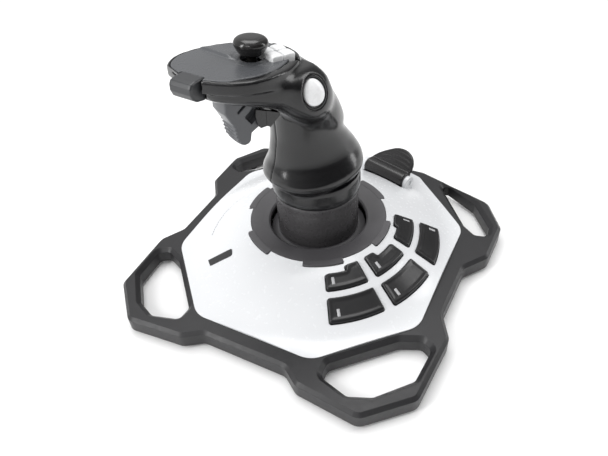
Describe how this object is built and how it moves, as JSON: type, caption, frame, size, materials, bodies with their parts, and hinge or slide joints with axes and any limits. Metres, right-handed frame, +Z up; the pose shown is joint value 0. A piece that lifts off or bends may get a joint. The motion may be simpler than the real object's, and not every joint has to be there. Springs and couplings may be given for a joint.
{
  "type": "flight joystick",
  "caption": "Desktop flight joystick: twisting pistol-grip handle with trigger and hat switch on a tilting stick, over a wide base with corner loops, push buttons and a throttle lever.",
  "frame": {"origin": "on the table under the stick axis, at the bottom face of the rubber feet", "axes": "+Z up along the stick; +Y to the front of the base, away from the user; +X to the user's right"},
  "size_m": [0.2058, 0.2098, 0.157],
  "materials": {
    "charcoal_plastic": "fine moulded texture, charcoal",
    "pale_plastic": "smooth satin silver white",
    "rubber": "matt black rubber",
    "steel": "turned and ground steel",
    "black_gloss": "polished black",
    "grip_plastic": "soft-touch satin charcoal",
    "plate_plastic": "satin slate grey",
    "white_button": "satin white",
    "button_plastic": "fine textured charcoal",
    "nylon": "black engineering plastic",
    "switch_black": "moulded component housing",
    "board_green": "solder-masked circuit board"
  },
  "bodies": {
    "base": {"badge_plaque": "black_gloss", "ballast_plates": "steel", "base_button_switches": "switch_black", "base_frame": "charcoal_plastic", "bottom_cover": "charcoal_plastic", "bracket_screws": "steel", "button_circuit_board": "board_green", "cable_strain_relief": "charcoal_plastic", "collar_ring": "charcoal_plastic", "cover_screws": "steel", "gimbal_bracket": "nylon", "main_circuit_board": "board_green", "pitch_potentiometer": "switch_black", "pitch_spring": "steel", "rubber_feet": "rubber", "throttle_potentiometer": "switch_black", "top_deck": "pale_plastic", "usb_cable": "rubber"},
    "pitch_carrier": {"pitch_yoke": "nylon", "pitch_pins": "steel", "roll_potentiometer": "switch_black", "roll_spring": "steel"},
    "stick": {"roll_pin": "steel", "stick_block": "nylon", "stick_shaft": "steel", "boot_sleeve": "charcoal_plastic", "dust_skirt": "nylon"},
    "handle": {"handle_core": "nylon", "twist_potentiometer": "switch_black", "grip_collar": "grip_plastic", "grip_left_shell": "grip_plastic", "grip_right_shell": "grip_plastic", "head_plate": "plate_plastic", "front_cap": "grip_plastic", "hat_switch_body": "nylon", "side_button_bezel": "black_gloss", "side_button_switch": "switch_black", "thumb_switch_board": "board_green", "trigger_pin": "steel", "trigger_switch": "switch_black", "trigger_spring": "steel", "trigger_housing": "grip_plastic", "handle_circuit_board": "board_green"},
    "hat_gimbal": {"hat_gimbal_ring": "nylon"},
    "hat": {"hat_cap": "black_gloss"},
    "trigger_body": {"trigger": "grip_plastic"},
    "side_button_body": {"side_button": "white_button"},
    "throttle": {"throttle_lever": "charcoal_plastic", "throttle_axle": "steel"},
    "base_button_front_inner_body": {"base_button_front_inner": "button_plastic"},
    "base_button_front_outer_body": {"base_button_front_outer": "button_plastic"},
    "base_button_middle_inner_body": {"base_button_middle_inner": "button_plastic"},
    "base_button_middle_outer_body": {"base_button_middle_outer": "button_plastic"},
    "base_button_rear_inner_body": {"base_button_rear_inner": "button_plastic"},
    "base_button_rear_outer_body": {"base_button_rear_outer": "button_plastic"},
    "thumb_button_front_left_body": {"thumb_button_front_left": "white_button"},
    "thumb_button_front_right_body": {"thumb_button_front_right": "white_button"},
    "thumb_button_rear_left_body": {"thumb_button_rear_left": "white_button"},
    "thumb_button_rear_right_body": {"thumb_button_rear_right": "white_button"}
  },
  "joints": [
    {"name": "stick_pitch", "type": "hinge", "parent": "base", "child": "pitch_carrier", "pos_m": [0, 0, 0.025], "axis": [0.891, -0.454, 0], "range_deg": [-14, 14], "stiffness_Nm_per_rad": 0.6, "deforming": ["pitch_spring"]},
    {"name": "stick_roll", "type": "hinge", "parent": "pitch_carrier", "child": "stick", "pos_m": [0, 0, 0.025], "axis": [0.454, 0.891, 0], "range_deg": [-14, 14], "stiffness_Nm_per_rad": 0.6, "deforming": ["roll_spring"]},
    {"name": "handle_twist", "type": "hinge", "parent": "stick", "child": "handle", "pos_m": [0, 0, 0.06], "axis": [0, 0, 1], "range_deg": [-25, 25], "stiffness_Nm_per_rad": 0.3},
    {"name": "hat_fore_aft", "type": "hinge", "parent": "handle", "child": "hat_gimbal", "pos_m": [0.01523, 0.02988, 0.14123], "axis": [0.891, -0.454, 0], "range_deg": [-9, 9], "stiffness_Nm_per_rad": 0.02},
    {"name": "hat_side_to_side", "type": "hinge", "parent": "hat_gimbal", "child": "hat", "pos_m": [0.01523, 0.02988, 0.14123], "axis": [0.4517, 0.8866, 0.0993], "range_deg": [-9, 9], "stiffness_Nm_per_rad": 0.02},
    {"name": "trigger_pull", "type": "hinge", "parent": "handle", "child": "trigger_body", "pos_m": [0.01998, 0.0392, 0.137], "axis": [-0.891, 0.454, 0], "range_deg": [0, 9], "stiffness_Nm_per_rad": 0.05, "deforming": ["trigger_spring"]},
    {"name": "thumb_button_front_left_press", "type": "slide", "parent": "handle", "child": "thumb_button_front_left_body", "axis": [0.0451, 0.0885, -0.9951], "range_m": [0, 0.0012], "stiffness_N_per_m": 400},
    {"name": "thumb_button_front_right_press", "type": "slide", "parent": "handle", "child": "thumb_button_front_right_body", "axis": [0.0451, 0.0885, -0.9951], "range_m": [0, 0.0012], "stiffness_N_per_m": 400},
    {"name": "thumb_button_rear_left_press", "type": "slide", "parent": "handle", "child": "thumb_button_rear_left_body", "axis": [0.0451, 0.0885, -0.9951], "range_m": [0, 0.0012], "stiffness_N_per_m": 400},
    {"name": "thumb_button_rear_right_press", "type": "slide", "parent": "handle", "child": "thumb_button_rear_right_body", "axis": [0.0451, 0.0885, -0.9951], "range_m": [0, 0.0012], "stiffness_N_per_m": 400},
    {"name": "side_button_press", "type": "slide", "parent": "handle", "child": "side_button_body", "axis": [0.8279, -0.4218, -0.3697], "range_m": [0, 0.0012], "stiffness_N_per_m": 400},
    {"name": "base_button_front_inner_press", "type": "slide", "parent": "base", "child": "base_button_front_inner_body", "axis": [0, 0, -1], "range_m": [0, 0.0015], "stiffness_N_per_m": 400},
    {"name": "base_button_front_outer_press", "type": "slide", "parent": "base", "child": "base_button_front_outer_body", "axis": [0, 0, -1], "range_m": [0, 0.0015], "stiffness_N_per_m": 400},
    {"name": "base_button_middle_inner_press", "type": "slide", "parent": "base", "child": "base_button_middle_inner_body", "axis": [0, 0, -1], "range_m": [0, 0.0015], "stiffness_N_per_m": 400},
    {"name": "base_button_middle_outer_press", "type": "slide", "parent": "base", "child": "base_button_middle_outer_body", "axis": [0, 0, -1], "range_m": [0, 0.0015], "stiffness_N_per_m": 400},
    {"name": "base_button_rear_inner_press", "type": "slide", "parent": "base", "child": "base_button_rear_inner_body", "axis": [0, 0, -1], "range_m": [0, 0.0015], "stiffness_N_per_m": 400},
    {"name": "base_button_rear_outer_press", "type": "slide", "parent": "base", "child": "base_button_rear_outer_body", "axis": [0, 0, -1], "range_m": [0, 0.0015], "stiffness_N_per_m": 400},
    {"name": "throttle_tilt", "type": "hinge", "parent": "base", "child": "throttle", "pos_m": [-0.018, -0.0732, 0.022], "axis": [-0.9511, 0.309, 0], "range_deg": [-22, 30]}
  ]
}
